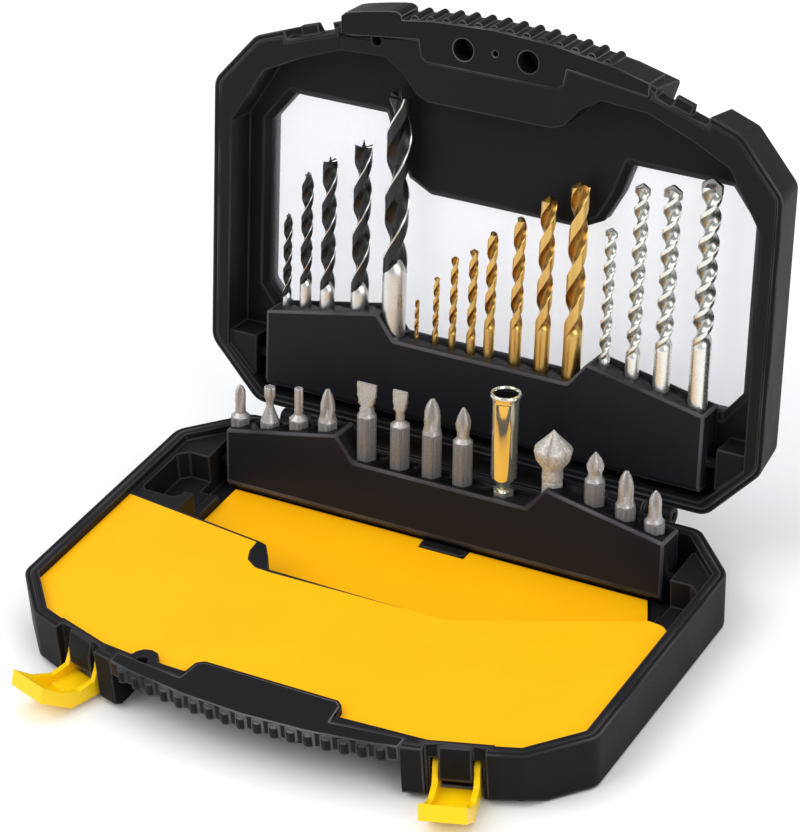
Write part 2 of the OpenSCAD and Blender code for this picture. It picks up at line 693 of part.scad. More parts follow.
module lid_bar() {
    drills = concat(wood_drills, metal_drills, masonry_drills);
    color("#262528") at_lid_axle() difference() {
        bar_body(lid_bar_top, lid_bar_foot, 4.8);
        for (t = drills) translate([t.x, 0, drill_seat - lid_bar_foot])
            cylinder(h = 60, d = t.y + 2 * tool_gap);
    }
}

// ---------------------------------------------------------------- lid

// the lid's opening at the rim, as the closed lid lies on the base
mouth_half = case_w / 2 - mouth_in;
mouth_ring = mirror_ring([
    [rear_w / 2 - 2.6, hinge_y - 7], [mouth_half, side_rear_y + 0.9], [mouth_half, hinge_y - 100],
    [mouth_half - 12, hinge_y - 119.5], [68.6, hinge_y - 126], [54, hinge_y - 131.5],
    [38, hinge_y - 132.5], [31, hinge_y - 128], [26, hinge_y - 122], [22, hinge_y - 120.4]]);
window_half = case_w / 2 - window_in;
window_top = 108.5;
window_ring = mirror_ring([
    [window_half - 6.4, hinge_y - 33], [window_half, hinge_y - 41], [window_half, hinge_y - 98],
    [window_half - 8.4, hinge_y - window_top], [44, hinge_y - window_top],
    [40.4, hinge_y - 98], [35, hinge_y - 88], [27, hinge_y - 84]]);
pane_back = rim_z - pane_drop;
pane_z = pane_back - pane_t;
module lid_cavity() {
    difference() {
        half_cavity(lid_draft);
        both_sides() at_latch() lid_latch_pocket(pocket_wall);
    }
}
module lid_shell() {
    color("#222124") as_lid() {
        difference() {
            lid_outer();
            lid_cavity();
            both_sides() at_latch() lid_latch_pocket(0);
            prism(window_ring, -over, rim_z);
            grip_zone(lid_grip_w, lid_tab_depth, lid_grip_z);
        }
        both_sides() at_latch() lid_catch();
        screw_bosses();
        lid_barrels();
        lid_heels();
    }
}
module lid_frame() {
    floor_at = rim_z - lid_floor;
    color("#262528") as_lid() difference() {
        intersection() {
            lid_cavity();
            translate([-case_w, -case_l, 0]) cube([2 * case_w, 2 * case_l, rim_z]);
        }
        difference() {
            prism(mouth_ring, floor_at, rim_z + over);
            both_sides() bracket();
        }
        prism(window_ring, 0, rim_z);
        prism(inset(window_ring, -pane_lap), 0, pane_back);
        // hollow between the inner floor and the outer shell
        difference() {
            prism(inset(land, 3), 0, floor_at - inner_t);
            prism(inset(window_ring, -pane_lap - inner_t), -over, rim_z);
            both_sides() at_latch() translate([-16, 0, -over]) cube([32, 22, rim_z]);
            prism([[-30, front_y], [30, front_y], [30, front_y + 24], [-30, front_y + 24]], -over, rim_z);
        }
        both_sides() rod_x(stub_r + running, bracket_x - over, bracket_x + 5,
                           hinge_y - lid_axle_up, rim_z - bar_half_t - 0.05);
        grip_zone(lid_grip_w, lid_tab_depth, lid_grip_z);
        for (s = screws) translate([s.x, s.y, 0]) cylinder(h = lid_grip_z + over, r = screw_r + 2);
        translate([-41, front_y + 11, rim_z - 5]) cylinder(h = 6, r = 1.7);
    }
}
// the blocks beside the lid bar that hold its stubs
module bracket() {
    translate([bracket_x, hinge_y - lid_axle_up - 7, rim_z - lid_floor - over])
        cube([20, 14, lid_floor + over - 1.5]);
}
module window_pane() {
    color("#dcdcec", 0.4) as_lid() prism(inset(window_ring, -pane_lap + 0.1), pane_z, pane_back);
}

// ---------------------------------------------------------------- drills

// two-fluted body, rising from z0 to z1
flute_deep = 0.45;
land_turn = 28;
function flute_ring(r) = [for (half = [0, 180])
    for (p = [[-land_turn, 1], [0, 1], [land_turn, 1], [90, flute_deep]])
    r * p.y * [cos(half + p.x), sin(half + p.x)]];
steps_a_turn = 10;
root = 0.4;              // how far each stretch of a drill starts inside the one below
module flutes(r, z0, z1, pitch) {
    turns = (z1 - z0 + root) / pitch;
    rows = ceil(turns * steps_a_turn);
    translate([0, 0, z0 - root])
        linear_extrude(z1 - z0 + root, twist = -360 * turns, slices = rows, $fn = 8)
            polygon(flute_ring(r));
}
module seat_drill(x) {
    at_lid_axle() translate([x, 0, drill_seat - lid_bar_foot]) children();
}
module wood_drill(i) {
    t = wood_drills[i];
    r = t.y / 2;
    point = 0.5 * t.y;
    color("#2b2a2c") seat_drill(t.x) {
        cylinder(h = t[3], r = r);
        flutes(0.98 * r, t[3], t.z - point, 5.4 * t.y);
        translate([0, 0, t.z - point - root])
            cylinder(h = point + root, r1 = 0.3 * r, r2 = 0.05 * r, $fn = 24);
    }
}
module metal_drill(i) {
    t = metal_drills[i];
    r = t.y / 2;
    point = 0.6 * r;
    color("#c8983a") seat_drill(t.x) {
        cylinder(h = t[3], r = r);
        flutes(0.98 * r, t[3], t.z - point, 5.4 * t.y);
        translate([0, 0, t.z - point - root])
            cylinder(h = point + root, r1 = 0.7 * r, r2 = 0.1 * r, $fn = 24);
    }
}
module masonry_drill(i) {
    t = masonry_drills[i];
    r = t.y / 2;
    point = 0.5 * t.y;
    color("#c9cbce") seat_drill(t.x) {
        cylinder(h = t[3], r = r * 0.92);
        flutes(r * 0.94, t[3], t.z - point, 7 + 1.4 * t.y);
        translate([0, r * 0.22, t.z - point]) rotate([90, 0, 0]) linear_extrude(r * 0.44)
            polygon([[-r, -root], [r, -root], [r, 0.3 * r], [0, point], [-r, 0.3 * r]]);
    }
}

// ---------------------------------------------------------------- driver bits

// cross point on a round neck, from z0 to z1
module cross_point(z0, z1, r) {
    difference() {
        translate([0, 0, z0]) cylinder(h = z1 - z0, r1 = r, r2 = 0.35 * r, $fn = 32);
        for (a = [45 : 90 : 315]) rotate(a) translate([0.42 * r, 0, z0 + 0.35 * (z1 - z0)])
            rotate([0, -12, 45]) cube([2 * r, 2 * r, z1 - z0]);
    }
}
module slot_point(z0, z1, r, blade) {
    rotate([90, 0, 90]) translate([0, 0, -blade / 2]) linear_extrude(blade)
        polygon([[-0.8 * r, z0], [0.8 * r, z0], [0.16 * r, z1 - 1.5], [0.16 * r, z1],
                 [-0.16 * r, z1], [-0.16 * r, z1 - 1.5]]);
}
bit_r = hex_af / 2;
module bit_blank(hex_l, neck_l, neck_r) {
    hex_rod(hex_l);
    translate([0, 0, hex_l]) cylinder(h = 1.2, r1 = bit_r, r2 = neck_r, $fn = 32);
    translate([0, 0, hex_l + 1.2]) cylinder(h = neck_l - 1.2, r = neck_r, $fn = 32);
}
module short_bit(i) {
    b = short_bits[i];
    neck = i == 0 ? 2.7 : i < 3 ? 2.1 : 2.9;
    color("#a9a69f") at_base_axle()
        translate([b.x, 0, bar_top(b.x, base_bar_top) + b.y - short_bit_l]) {
            bit_blank(short_bit_l - 8, 3, neck);
            if (i == 1 || i == 2)
                translate([0, 0, short_bit_l - 5]) cylinder(h = 5, r = 1.9, $fn = 6);
            else
                cross_point(short_bit_l - 5, short_bit_l, neck);
        }
}
module long_bit(i) {
    b = long_bits[i];
    neck = 2.75;
    color("#a9a69f") at_base_axle() translate([b.x, 0, base_bar_top + b.y - long_bit_l]) {
        bit_blank(long_bit_l - 12, 4, neck);
        if (i < 2)
            slot_point(long_bit_l - 8, long_bit_l, bit_r, i == 0 ? 7 : 5.2);
        else
            cross_point(long_bit_l - 8, long_bit_l, neck);
    }
}
module bit_holder() {
    low = base_bar_top + holder_stem_out;
    high = base_bar_top + holder_out;
    r = holder_d / 2;
    color("#d6d6d4") at_base_axle() translate([holder_x, 0, 0]) difference() {
        union() {
            translate([0, 0, hole_floor - base_bar_foot]) hex_rod(low - hole_floor + base_bar_foot);
            translate([0, 0, low]) cylinder(h = 1.2, r1 = r - 0.8, r2 = r);
            translate([0, 0, low + 1.2]) cylinder(h = high - low - 3.4, r = r);
            translate([0, 0, high - 2.2]) cylinder(h = 1, r1 = r, r2 = r + 0.75);
            translate([0, 0, high - 1.2]) cylinder(h = 1.2, r = r + 0.75);
        }
        translate([0, 0, high - 14]) hex_rod(20, tool_gap);
    }
}
module countersink() {
    high = base_bar_top + bar_rise + sink_out;
    r = sink_d / 2;
    rim = 2.6;
    color("#b5ad9f") at_base_axle() translate([sink_x, 0, 0]) {
        translate([0, 0, hole_floor - base_bar_foot])
            hex_rod(high - r - rim - 3 - hole_floor + base_bar_foot);
        translate([0, 0, high - r - rim - 3]) cylinder(h = 3, r1 = 2.6, r2 = r - 1.2);
        difference() {
            union() {
                translate([0, 0, high - r - rim]) cylinder(h = rim, r1 = r - 1.2, r2 = r);
                translate([0, 0, high - r]) cylinder(h = r, r1 = r, r2 = 0.2);
            }
            for (a = [0 : 72 : 288]) rotate(a) translate([0.9, 0.4, high - r - 0.6])
                rotate([0, 0, 8]) cube([r, 1.5, r + 1]);
        }
    }
}

// ---------------------------------------------------------------- pieces

base_shell();
base_tray();
base_grip();
front_panel();
recess_liner();
base_bar();
lid_shell();
lid_frame();
window_pane();
lid_grip();
grip_screws();
lid_bar();
hinge_pin_left();
hinge_pin_right();
latch_left();
latch_right();
bit_holder();
countersink();
for (i = [0 : len(wood_drills) - 1]) wood_drill(i);
for (i = [0 : len(metal_drills) - 1]) metal_drill(i);
for (i = [0 : len(masonry_drills) - 1]) masonry_drill(i);
for (i = [0 : len(short_bits) - 1]) short_bit(i);
for (i = [0 : len(long_bits) - 1]) long_bit(i);
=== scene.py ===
import json
from math import ceil, cos, pi, radians, sin, tan, tau

import bmesh
import bpy
from mathutils import Matrix, Vector

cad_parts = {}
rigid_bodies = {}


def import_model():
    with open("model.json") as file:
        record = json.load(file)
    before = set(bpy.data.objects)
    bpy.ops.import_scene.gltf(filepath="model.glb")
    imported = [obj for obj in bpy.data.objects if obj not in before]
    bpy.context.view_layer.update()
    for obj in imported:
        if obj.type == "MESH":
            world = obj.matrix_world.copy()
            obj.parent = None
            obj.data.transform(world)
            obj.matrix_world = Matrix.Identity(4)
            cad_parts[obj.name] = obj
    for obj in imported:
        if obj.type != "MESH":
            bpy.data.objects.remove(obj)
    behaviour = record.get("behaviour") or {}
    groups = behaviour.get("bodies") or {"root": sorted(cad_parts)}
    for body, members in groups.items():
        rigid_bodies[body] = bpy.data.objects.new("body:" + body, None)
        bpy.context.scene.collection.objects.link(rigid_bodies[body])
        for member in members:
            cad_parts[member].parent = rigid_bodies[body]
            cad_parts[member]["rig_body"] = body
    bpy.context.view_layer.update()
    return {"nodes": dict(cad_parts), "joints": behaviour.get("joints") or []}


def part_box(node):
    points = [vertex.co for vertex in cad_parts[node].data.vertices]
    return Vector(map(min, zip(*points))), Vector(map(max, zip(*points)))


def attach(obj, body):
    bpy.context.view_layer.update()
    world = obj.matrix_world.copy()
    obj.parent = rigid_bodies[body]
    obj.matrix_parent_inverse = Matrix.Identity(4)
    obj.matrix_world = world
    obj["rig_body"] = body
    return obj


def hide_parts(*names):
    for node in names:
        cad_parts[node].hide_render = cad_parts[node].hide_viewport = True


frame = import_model()

MM = 0.001
NODES = frame["nodes"]
LID_LEAN = radians(9.24)
BASE_BAR_LEAN = radians(7)
AXES = {j["name"]: Vector(j["pos_m"]) for j in frame["joints"]}
HINGE = AXES["lid_hinge"]
BASE_AXLE = AXES["bit_bar_fold"]
MERGE = 0.002 * MM
SHARP = radians(30)


# ---------------------------------------------------------------- materials


def linear(hex_colour):
    """An sRGB hex colour as linear RGBA."""
    parts = [int(hex_colour[i : i + 2], 16) / 255 for i in (1, 3, 5)]
    return [c / 12.92 if c <= 0.04045 else ((c + 0.055) / 1.055) ** 2.4 for c in parts] + [1]


def add(tree, kind, inputs=(), **settings):
    """One node with its settings. Each input is a value, or another node's output to link."""
    node = tree.nodes.new(kind)
    for name, value in settings.items():
        setattr(node, name, value)
    for name, value in dict(inputs).items():
        if isinstance(value, bpy.types.NodeSocket):
            tree.links.new(value, node.inputs[name])
        else:
            node.inputs[name].default_value = value
    return node


def finish(name, colour, roughness, **shader_values):
    """A material with its shader's own constants set. Returns it with its tree and shader."""
    made = bpy.data.materials.new(name)
    made.use_nodes = True
    tree = made.node_tree
    shader = tree.nodes["Principled BSDF"]
    shader.inputs["Base Color"].default_value = linear(colour)
    shader.inputs["Roughness"].default_value = roughness
    for key, value in shader_values.items():
        shader.inputs[key.replace("_", " ")].default_value = value
    return made, tree, shader


def relief(tree, shader, grain, depth, low, high, drift=25 * MM):
    """Relief with grains of that size and depth, and roughness that drifts from low to high.
    Returns both noises, for the colour."""
    place = add(tree, "ShaderNodeTexCoord").outputs["Object"]
    fine = add(tree, "ShaderNodeTexNoise", {"Vector": place, "Scale": 1 / grain, "Detail": 3})
    wide = add(tree, "ShaderNodeTexNoise", {"Vector": place, "Scale": 1 / drift, "Detail": 2})
    bump = add(tree, "ShaderNodeBump",
               {"Height": fine.outputs["Fac"], "Strength": 1, "Distance": depth})
    both = add(tree, "ShaderNodeMath", {0: fine.outputs["Fac"], 1: wide.outputs["Fac"]},
               operation="ADD")
    rough = add(tree, "ShaderNodeMapRange",
                {"Value": both.outputs[0], "From Min": 0.7, "From Max": 1.3,
                 "To Min": low, "To Max": high})
    tree.links.new(bump.outputs["Normal"], shader.inputs["Normal"])
    tree.links.new(rough.outputs[0], shader.inputs["Roughness"])
    return fine.outputs["Fac"], wide.outputs["Fac"]


def blend_colour(tree, shader, share, first, second):
    """The base colour goes from the first colour to the second as share goes from 0 to 1."""
    mix = add(tree, "ShaderNodeMix", {"Factor": share}, data_type="RGBA")
    mix.inputs["A"].default_value = linear(first)
    mix.inputs["B"].default_value = linear(second)
    tree.links.new(mix.outputs["Result"], shader.inputs["Base Color"])
    return mix


def ranged(tree, value, low, high, to_low=0.0, to_high=1.0):
    """value between low and high, carried to between to_low and to_high."""
    return add(tree, "ShaderNodeMapRange",
               {"Value": value, "From Min": low, "From Max": high,
                "To Min": to_low, "To Max": to_high}).outputs[0]


def polypropylene(name, colour, highlight_colour, grain, depth, low, high):
    """Moulded black polypropylene. Its rounded edges are painted lighter: a painted highlight where
    they catch the light, patchy like wear from handling.
    """
    made, tree, shader = finish(name, colour, high, Specular_IOR_Level=0.1)
    fine, wide = relief(tree, shader, grain, depth, low, high)
    # painted highlight on the bevel faces, broken up by noise like wear
    edge = add(tree, "ShaderNodeAttribute", attribute_name="edge").outputs["Fac"]
    highlight_and_wear = add(tree, "ShaderNodeMath", {0: edge, 1: ranged(tree, wide, 0.35, 0.62, 0.25, 1)},
               operation="MULTIPLY").outputs[0]
    blend_colour(tree, shader, highlight_and_wear, colour, highlight_colour)
    return made


def coloured_plastic(name, colour, shade, grain, depth, low, high, **shader_values):
    """Plastic coloured in the mass, with a faint drift in its shade."""
    made, tree, shader = finish(name, colour, high, **shader_values)
    fine, wide = relief(tree, shader, grain, depth, low, high)
    blend_colour(tree, shader, ranged(tree, wide, 0.35, 0.65), colour, shade)
    return made


def clear_polystyrene():
    """Clear window: nearly invisible, with a faint lilac grey and the shine of a flat sheet."""
    made, tree, shader = finish("polystyrene_clear", "#E4E2F0", 0.05, Alpha=0.2, IOR=1.59)
    return made


def steel(name, colour, shade, low, high, grain=0.5 * MM, depth=0.004 * MM, metallic=1):
    """Bare or plated metal, with a fine grain."""
    made, tree, shader = finish(name, colour, high, Metallic=metallic)
    fine, wide = relief(tree, shader, grain, depth, low, high, 6 * MM)
    blend_colour(tree, shader, ranged(tree, fine, 0.3, 0.7), colour, shade)
    return made


def ground_steel(name, body, body_metal, edge, low, high, edge_metal=1):
    """A drill's finish: the coated body, and the bright steel where it was ground afterwards."""
    made, tree, shader = finish(name, body, high)
    fine, wide = relief(tree, shader, 0.45 * MM, 0.006 * MM, low, high, 4 * MM)
    ground = add(tree, "ShaderNodeAttribute", attribute_name="ground").outputs["Fac"]
    sharp = ranged(tree, ground, 0.35, 0.65)
    blend_colour(tree, shader, sharp, body, edge)
    tree.links.new(ranged(tree, sharp, 0, 1, body_metal, edge_metal), shader.inputs["Metallic"])
    return made


# Spark-eroded moulds give the outside a fine grain. It is drawn at 0.5 mm, coarser than the real
# 0.1 mm, so that it shows. Each black's second colour is a painted highlight on its rounded edges,
# patchy like wear.
SHELL_BLACK = polypropylene("polypropylene_grained", "#161517", "#444346",
                            0.5 * MM, 0.02 * MM, 0.46, 0.62)
INNER_BLACK = polypropylene("polypropylene_satin", "#1A191B", "#343234",
                            0.9 * MM, 0.012 * MM, 0.34, 0.48)
BAR_BLACK = polypropylene("polypropylene_bar", "#1E1E22", "#545154",
                          0.9 * MM, 0.012 * MM, 0.34, 0.48)
GRIP_BLACK = polypropylene("polypropylene_grip", "#18171A", "#5E5C5F",
                           0.6 * MM, 0.02 * MM, 0.32, 0.47)
# Cut sheet, smooth and slightly satin, so its yellow stays even from end to end.
PANEL_YELLOW = coloured_plastic("polystyrene_sheet_yellow", "#FFB806", "#FFB403",
                                0.8 * MM, 0.004 * MM, 0.4, 0.5, Specular_IOR_Level=0.14)
# Injection-moulded and a little glossier than the sheet, with a lemon tint.
LATCH_YELLOW = coloured_plastic("acetal_yellow", "#FFD60E", "#FFD008",
                                0.7 * MM, 0.006 * MM, 0.24, 0.34, Specular_IOR_Level=0.3)
CLEAR = clear_polystyrene()
ZINC = steel("steel_zinc_plated", "#B9BABC", "#9FA0A3", 0.28, 0.42)
CHROME = steel("steel_chrome_plated", "#F0F2E0", "#E6E8D6", 0.06, 0.1,
               depth=0.001 * MM, metallic=0.85)
# Tumbled after machining, which leaves a soft sheen with tiny dents. Its darker colour on the hexagons
# is painted shade, from the dark bar they stand in.
TUMBLED_SHADED = steel("steel_tumbled", "#858382", "#6C6A69", 0.36, 0.5, 0.4 * MM, 0.006 * MM, 0.35)
# The bits' working ends are milled last and have a finer grain; their lighter colour is painted light,
# where they stand up into the light away from the dark bar.
MILLED_LIT = steel("steel_milled", "#C6C2BE", "#9A9692", 0.3, 0.44, 0.35 * MM, 0.014 * MM, 0.45)
# Painted shade: near-black steel for inside the holder's deep socket.
SOCKET_SHADE = steel("steel_oiled", "#2A2826", "#1C1B1A", 0.3, 0.45, metallic=0.6)
SINK_STEEL = steel("steel_sandblasted", "#D2CDC5", "#A09A92", 0.36, 0.5, 0.8 * MM, 0.04 * MM, 0.25)
NICKEL = ground_steel("steel_nickel_plated", "#B4B5AE", 0.85, "#E9E8E0", 0.2, 0.32, 0.9)
CARBIDE = steel("carbide_ground", "#A8A6A2", "#85827E", 0.3, 0.4)
TITANIUM = ground_steel("titanium_nitride_on_steel", "#9E7438", 1, "#DBB468", 0.26, 0.38)
BLACK_OXIDE = ground_steel("steel_black_oxide", "#151416", 0.2, "#DEDCD8", 0.26, 0.4)
SCREW_BLACK = steel("steel_black_phosphate", "#3B3A3D", "#2C2B2E", 0.4, 0.5)


# ---------------------------------------------------------------- moulded pieces


def piece(name, mesh, *materials):
    """A finished piece at the origin, smooth except where its faces meet at an angle."""
    made = bpy.data.objects.new(name, mesh)
    bpy.context.scene.collection.objects.link(made)
    if materials and mesh.materials:
        mesh.materials.clear()
    for material in materials:
        mesh.materials.append(material)
    mesh.shade_smooth()
    mesh.set_sharp_from_angle(angle=radians(38))
    return made


def stand_for(made, node):
    """The piece moves with the node's body and stands for the node."""
    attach(made, NODES[node]["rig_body"])
    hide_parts(node)
    return made


def settle(made):
    """The modifiers' result becomes the piece's own mesh."""
    bpy.context.view_layer.update()
    seen = made.evaluated_get(bpy.context.evaluated_depsgraph_get())
    mesh = bpy.data.meshes.new_from_object(seen)
    made.modifiers.clear()
    made.data = mesh
    return made


def bevel(bm, edges, width, segments, layer, round_share=0.7):
    """Bevels the edges and marks the new faces."""
    made = bmesh.ops.bevel(bm, geom=edges, offset=width, offset_type="OFFSET", segments=segments,
                           profile=round_share, affect="EDGES", clamp_overlap=False,
                           miter_outer="ARC", material=-1)
    for face in made["faces"]:
        face[layer] = 1


def rounded(node, width, material, wide=None, wide_width=0.0, keep=None):
    """A moulded piece: the CAD node with every sharp edge rounded to that width, except where
    keep(edge) is true. Edges for which wide(edge) is true get a broad flat chamfer first."""
    mesh = NODES[node].data.copy()
    bm = bmesh.new()
    bm.from_mesh(mesh)
    bmesh.ops.remove_doubles(bm, verts=bm.verts, dist=MERGE)
    layer = bm.faces.layers.float.new("edge")
    if wide:
        bevel(bm, [e for e in bm.edges if wide(e)], wide_width, 1, layer)
        for face in bm.faces:
            face[layer] = 0
    edges = [e for e in bm.edges if e.is_manifold and e.calc_face_angle(0) > SHARP]
    bevel(bm, [e for e in edges if not (keep and keep(e))], width, 2, layer)
    bmesh.ops.triangulate(bm, faces=[f for f in bm.faces if len(f.verts) > 4])
    bm.to_mesh(mesh)
    bm.free()
    made = piece(node + "_moulding", mesh, material)
    weighted = made.modifiers.new("flat faces stay flat", "WEIGHTED_NORMAL")
    weighted.keep_sharp = True
    weighted.weight = 50
    return stand_for(settle(made), node)


# ---------------------------------------------------------------- drills

LID_AXIS = Vector((0, sin(LID_LEAN), cos(LID_LEAN)))
BAR_AXIS = Vector((0, sin(BASE_BAR_LEAN), cos(BASE_BAR_LEAN)))


def drill_tree():
    """Geometry nodes for a two-fluted drill from its foot at the origin to its point up +Z.
    A grid is rolled up: its X goes round the drill and its Y from foot to point."""
    tree = bpy.data.node_groups.new("two-fluted drill", "GeometryNodeTree")
    socket = tree.interface.new_socket
    for name in ("Radius", "Shank Radius", "Length", "Shank", "Pitch", "Flute Depth", "Land Share",
                 "Bright Share", "Spur", "Slope", "Horn"):
        socket(name, in_out="INPUT", socket_type="NodeSocketFloat")
    for name in ("Around", "Rows"):
        socket(name, in_out="INPUT", socket_type="NodeSocketInt")
    socket("Material", in_out="INPUT", socket_type="NodeSocketMaterial")
    socket("Geometry", in_out="OUTPUT", socket_type="NodeSocketGeometry")
    given = tree.nodes.new("NodeGroupInput").outputs

    def calc(operation, first, second=0.0, third=0.0):
        sockets = {0: first, 1: second, 2: third}
        return add(tree, "ShaderNodeMath", sockets, operation=operation).outputs[0]

    def smooth(value, low, high):
        sockets = {"Value": value, "From Min": low, "From Max": high}
        return add(tree, "ShaderNodeMapRange", sockets, interpolation_type="SMOOTHSTEP").outputs[0]

    grid = add(tree, "GeometryNodeMeshGrid",
               {"Size X": 1, "Size Y": 1, "Vertices X": given["Around"], "Vertices Y": given["Rows"]})
    position = tree.nodes.new("GeometryNodeInputPosition").outputs[0]
    spot = add(tree, "ShaderNodeSeparateXYZ", {0: position})
    turn = calc("ADD", spot.outputs["X"], 0.5)
    left = calc("SUBTRACT", 0.5, spot.outputs["Y"])
    # rows lie closer together towards the point
    height = calc("MULTIPLY", given["Length"], calc("SUBTRACT", 1, calc("POWER", left, 1.5)))
    # each half turn is a land, then a flute
    half = calc("FRACT", calc("MULTIPLY", turn, 2))
    in_flute = calc("DIVIDE", calc("SUBTRACT", half, given["Land Share"]),
                    calc("SUBTRACT", 1, given["Land Share"]))
    arch = calc("SINE", calc("MULTIPLY", pi, calc("MAXIMUM", in_flute, 0)))
    hollow = calc("POWER", calc("MAXIMUM", arch, 0), 0.7)
    full_depth_at = calc("MULTIPLY_ADD", given["Radius"], 1.5, given["Shank"])
    run_in = smooth(height, given["Shank"], full_depth_at)
    cut = calc("MULTIPLY", run_in, calc("MULTIPLY", hollow, given["Flute Depth"]))
    # the bright margins, and the bare shank below the flutes
    margin = calc("LESS_THAN", half, given["Bright Share"])
    relieved = calc("MULTIPLY", calc("MULTIPLY", 0.035, calc("SUBTRACT", 1, margin)), run_in)
    bare = calc("MULTIPLY_ADD", arch, calc("MULTIPLY", given["Radius"], 1.2), given["Shank"])
    ground = calc("MAXIMUM", margin, calc("LESS_THAN", height, bare))
    full = calc("ADD", given["Shank Radius"],
                calc("MULTIPLY", run_in, calc("SUBTRACT", given["Radius"], given["Shank Radius"])))
    body = calc("MULTIPLY", full, calc("SUBTRACT", 1, calc("ADD", cut, relieved)))
    # point: a cone over the last stretch, called the spur
    remaining = calc("SUBTRACT", given["Length"], height)
    below = calc("GREATER_THAN", remaining, given["Spur"])
    cap = calc("MULTIPLY_ADD", remaining, given["Slope"], below)
    horn_from = calc("MULTIPLY_ADD", given["Radius"], 0.5, given["Spur"])
    edge = calc("MULTIPLY", below, smooth(remaining, horn_from, given["Spur"]))
    raised = calc("MULTIPLY", calc("MULTIPLY", edge, given["Horn"]),
                  calc("LESS_THAN", half, calc("MULTIPLY", given["Land Share"], 0.6)))
    radius = calc("MULTIPLY", calc("MINIMUM", body, cap), calc("LESS_THAN", left, 0.9999))
    above_shank = calc("MAXIMUM", calc("SUBTRACT", height, given["Shank"]), 0)
    twist = calc("DIVIDE", above_shank, given["Pitch"])
    angle = calc("MULTIPLY", 2 * pi, calc("ADD", turn, twist))
    place = add(tree, "ShaderNodeCombineXYZ",
                {"X": calc("MULTIPLY", radius, calc("COSINE", angle)),
                 "Y": calc("MULTIPLY", radius, calc("SINE", angle)),
                 "Z": calc("ADD", height, raised)})
    marked = add(tree, "GeometryNodeStoreNamedAttribute",
                 {"Geometry": grid.outputs["Mesh"], "Name": "ground", "Value": ground},
                 data_type="FLOAT")
    rolled = add(tree, "GeometryNodeSetPosition",
                 {"Geometry": marked.outputs[0], "Position": place.outputs[0]})
    closed = add(tree, "GeometryNodeMergeByDistance",
                 {"Geometry": rolled.outputs[0], "Distance": 0.004 * MM})
    real = add(tree, "GeometryNodeRealizeInstances", {"Geometry": closed.outputs[0]})
    coated = add(tree, "GeometryNodeSetMaterial",
                 {"Geometry": real.outputs[0], "Material": given["Material"]})
    add(tree, "NodeGroupOutput", {"Geometry": coated.outputs[0]})
    return tree


def grow(tree, **values):
    """The mesh that the node tree makes of these values, each named for its input."""
    holder = bpy.data.objects.new("grown", bpy.data.meshes.new("grown"))
    bpy.context.scene.collection.objects.link(holder)
    made = holder.modifiers.new("grown", "NODES")
    made.node_group = tree
    for item in tree.interface.items_tree:
        if item.in_out == "INPUT":
            made[item.identifier] = values[item.name.replace(" ", "_").lower()]
    bpy.context.view_layer.update()
    seen = holder.evaluated_get(bpy.context.evaluated_depsgraph_get())
    mesh = bpy.data.meshes.new_from_object(seen)
    bpy.data.objects.remove(holder)
    return mesh


def stand_up(mesh, node, axis, foot_radius):
    """Moves a tool made upright at the origin onto the CAD tool's own axis.
    Across the case the CAD tool is as wide on both sides of that axis."""
    low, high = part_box(node)
    middle = (low[0] + high[0]) / 2
    foot = Vector((middle, low[1] + foot_radius * axis.z, low[2] + foot_radius * axis.y))
    lean = Vector((0, 0, 1)).rotation_difference(axis).to_matrix().to_4x4()
    mesh.transform(Matrix.Translation(foot) @ lean)


def tool_length(node, axis, foot_radius):
    """From the middle of the CAD tool's foot to its point."""
    low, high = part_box(node)
    return (high[2] - low[2] - foot_radius * axis.y) / axis.z


def drill(node, tree, shank, foot_share=1.0, shorter=0.0, carbide=None, **values):
    """A drill in place of the CAD node, whose width and length it keeps.
    Shares and depths are in radii: foot_share of the shank, shorter for a body below a plate."""
    low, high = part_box(node)
    radius = (high[0] - low[0]) / 2
    foot = radius * foot_share
    length = tool_length(node, LID_AXIS, foot)
    body = length - shorter * radius
    for name in ("pitch", "spur", "horn"):
        values[name] *= radius
    mesh = grow(tree, radius=radius * (0.95 if carbide else 1), shank_radius=foot, length=body,
                shank=shank * MM, around=73, rows=ceil(body / (0.5 * MM)) + 40, **values)
    if carbide:
        add_plate(mesh, radius, length, carbide)
    stand_up(mesh, node, LID_AXIS, foot)
    return stand_for(piece(node + "_ground", mesh), node)


def add_plate(mesh, radius, top, material):
    """A roof-shaped carbide plate, brazed across the head."""
    side = [(-1, -1.5), (1, -1.5), (1, -0.62), (0.12, -0.04), (-0.12, -0.04), (-1, -0.62)]
    bm = bmesh.new()
    faces = []
    for y in (-0.2, 0.2):
        corners = [bm.verts.new((x * radius, y * radius, top + z * radius)) for x, z in side]
        faces.append(bm.faces.new(corners if y < 0 else reversed(corners)))
    front, back = [list(f.verts) for f in faces]
    back.reverse()
    for i in range(len(side)):
        j = (i + 1) % len(side)
        bm.faces.new((front[j], front[i], back[i], back[j]))
    bmesh.ops.bevel(bm, geom=list(bm.edges), offset=0.05 * radius, offset_type="OFFSET", segments=1,
                    affect="EDGES", profile=0.5)
    mesh.materials.append(material)
    for face in bm.faces:
        face.material_index = len(mesh.materials) - 1
    bm.from_mesh(mesh)
    bm.to_mesh(mesh)
    bm.free()


# plain shanks above the foot, in mm
WOOD_SHANKS = (29, 35, 35, 37, 47)
METAL_SHANKS = (26, 28, 30, 30, 35, 37, 39, 40)
MASONRY_SHANKS = (33, 37, 42, 46)


# a spur longer than the drill makes its whole point one cone
NO_SPUR = 200


